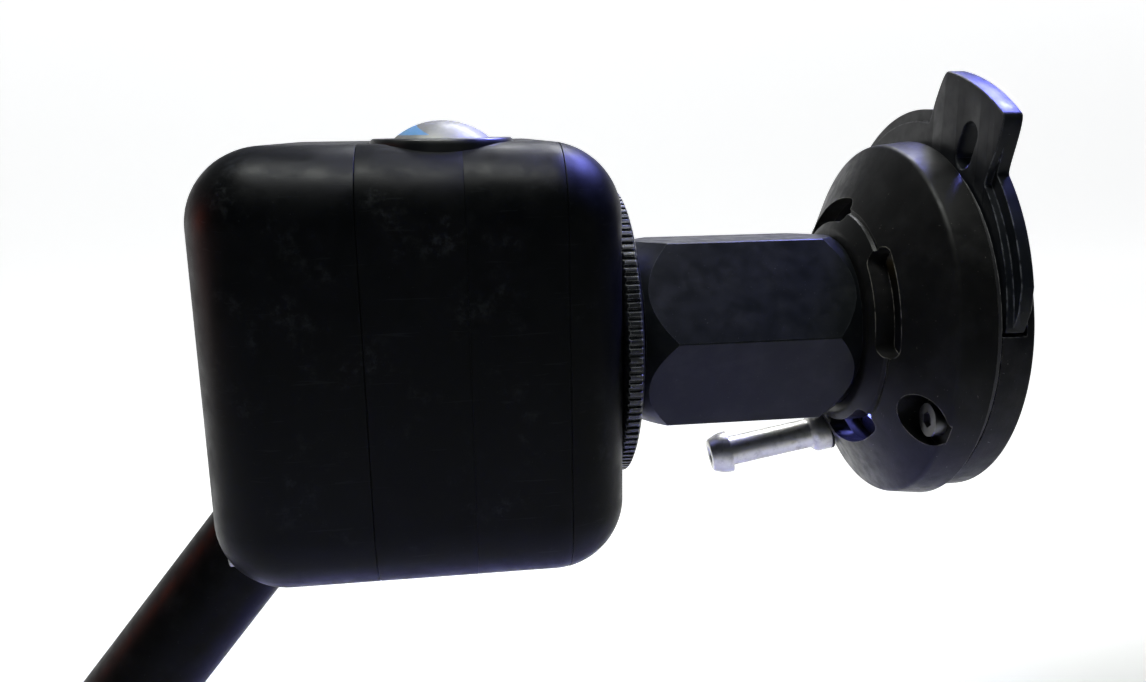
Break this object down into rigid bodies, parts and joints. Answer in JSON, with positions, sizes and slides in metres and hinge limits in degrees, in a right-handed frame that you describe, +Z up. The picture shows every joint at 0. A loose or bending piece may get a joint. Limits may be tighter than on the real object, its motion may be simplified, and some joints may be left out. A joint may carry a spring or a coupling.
{
  "type": "guide camera",
  "caption": "Cube camera with a top button, knurled lock ring, hexagonal barrel, hose barb, angled support tube and a lever-operated quick-lock eyepiece coupler.",
  "frame": {"origin": "centre of the coupler mating face, at the mouth of the eyepiece socket", "axes": "+X along the barrel from the camera to the telescope, +Z up through the button"},
  "size_m": [0.167, 0.0561, 0.1415],
  "materials": {
    "rear_cover": "fine moulded black with rubbed edges",
    "rear_frame": "fine moulded black",
    "front_frame": "fine moulded black",
    "front_cover": "fine moulded black",
    "bezel": "satin black",
    "support_tube": "satin black",
    "end_plug": "matt black",
    "lock_ring": "black anodised, ridge tops rubbed grey",
    "hex_barrel": "black anodised with fine scratches",
    "bell_cover": "satin black anodised",
    "lever_plate": "black anodised, rubbed at the edges",
    "back_flange": "black anodised, scuffed",
    "inner_black": "matt black",
    "plain_aluminium": "turned",
    "jaw_plate": "ground",
    "jaw_brass": "machined",
    "screw_steel": "plain",
    "pocket_screw": "polished",
    "nut_steel": "plain",
    "spring_steel": "drawn wire",
    "hose_barb": "turned nickel",
    "dome": "satin",
    "dome_inlay": "gloss light blue",
    "seal_rubber": "matt",
    "switch_plastic": "moulded",
    "circuit_board": "solder mask",
    "brass_posts": "turned",
    "window_glass": "coated",
    "lens_glass": "coated",
    "sensor_face": "polished",
    "socket_plastic": "moulded",
    "ribbon_film": "film"
  },
  "bodies": {
    "camera": {"rear_cover": "rear_cover", "rear_frame": "rear_frame", "front_frame": "front_frame", "front_cover": "front_cover", "housing_seals": "seal_rubber", "housing_screws": "screw_steel", "support_tube": "support_tube", "tube_socket": "plain_aluminium", "socket_screws": "screw_steel", "tube_end_plug": "end_plug", "button_bezel": "bezel", "button_nut": "nut_steel", "button_spring": "spring_steel", "tactile_switch": "switch_plastic", "switch_board": "circuit_board", "switch_posts": "brass_posts", "mount_nose": "inner_black", "nose_screws": "screw_steel", "window_gasket": "seal_rubber", "sensor_window": "window_glass", "sensor_carrier": "inner_black", "image_sensor": "sensor_face", "sensor_board": "circuit_board", "carrier_screws": "screw_steel", "main_board": "circuit_board", "board_spacers": "brass_posts", "board_sockets": "socket_plastic", "ribbon_cable": "ribbon_film", "barrel_oring": "seal_rubber", "hex_barrel": "hex_barrel", "rear_lens": "lens_glass", "rear_retainer": "inner_black", "middle_lens": "lens_glass", "lens_spacer": "inner_black", "front_lens": "lens_glass", "front_retainer": "inner_black", "bell_cover": "bell_cover", "bell_screws": "pocket_screw", "hose_barb": "hose_barb", "barb_washer": "seal_rubber", "jaw_carrier": "plain_aluminium", "jaw_plate": "jaw_plate", "back_flange": "back_flange", "flange_screws": "screw_steel"},
    "lock_ring": {"lock_ring": "lock_ring"},
    "button": {"button_dome": "dome", "dome_inlay": "dome_inlay"},
    "lever": {"lever_plate": "lever_plate"},
    "jaw_a": {"jaw_1": "jaw_brass"},
    "jaw_b": {"jaw_2": "jaw_brass"},
    "jaw_c": {"jaw_3": "jaw_brass"}
  },
  "joints": [
    {"name": "button_press", "type": "slide", "parent": "camera", "child": "button", "axis": [0, 0, -1], "range_m": [0, 0.0009], "stiffness_N_per_m": 500, "springref_m": -0.0012, "deforming": ["button_spring"]},
    {"name": "lock_ring_turn", "type": "hinge", "parent": "camera", "child": "lock_ring", "pos_m": [-0.0498, 0, 0], "axis": [1, 0, 0], "range_deg": [0, 60]},
    {"name": "lever_turn", "type": "hinge", "parent": "camera", "child": "lever", "pos_m": [-0.0028, 0, 0], "axis": [1, 0, 0], "range_deg": [-30, 0]},
    {"name": "jaw_a_slide", "type": "slide", "parent": "camera", "child": "jaw_a", "axis": [0, -0.5, -0.866], "range_m": [0, 0.001]},
    {"name": "jaw_b_slide", "type": "slide", "parent": "camera", "child": "jaw_b", "axis": [0, 1, 0], "range_m": [0, 0.001]},
    {"name": "jaw_c_slide", "type": "slide", "parent": "camera", "child": "jaw_c", "axis": [0, -0.5, 0.866], "range_m": [0, 0.001]}
  ],
  "couplings": [
    {"joint": "jaw_a_slide", "follows": "lever_turn", "m_per_rad": -0.0017188},
    {"joint": "jaw_b_slide", "follows": "lever_turn", "m_per_rad": -0.0017188},
    {"joint": "jaw_c_slide", "follows": "lever_turn", "m_per_rad": -0.0017188}
  ]
}
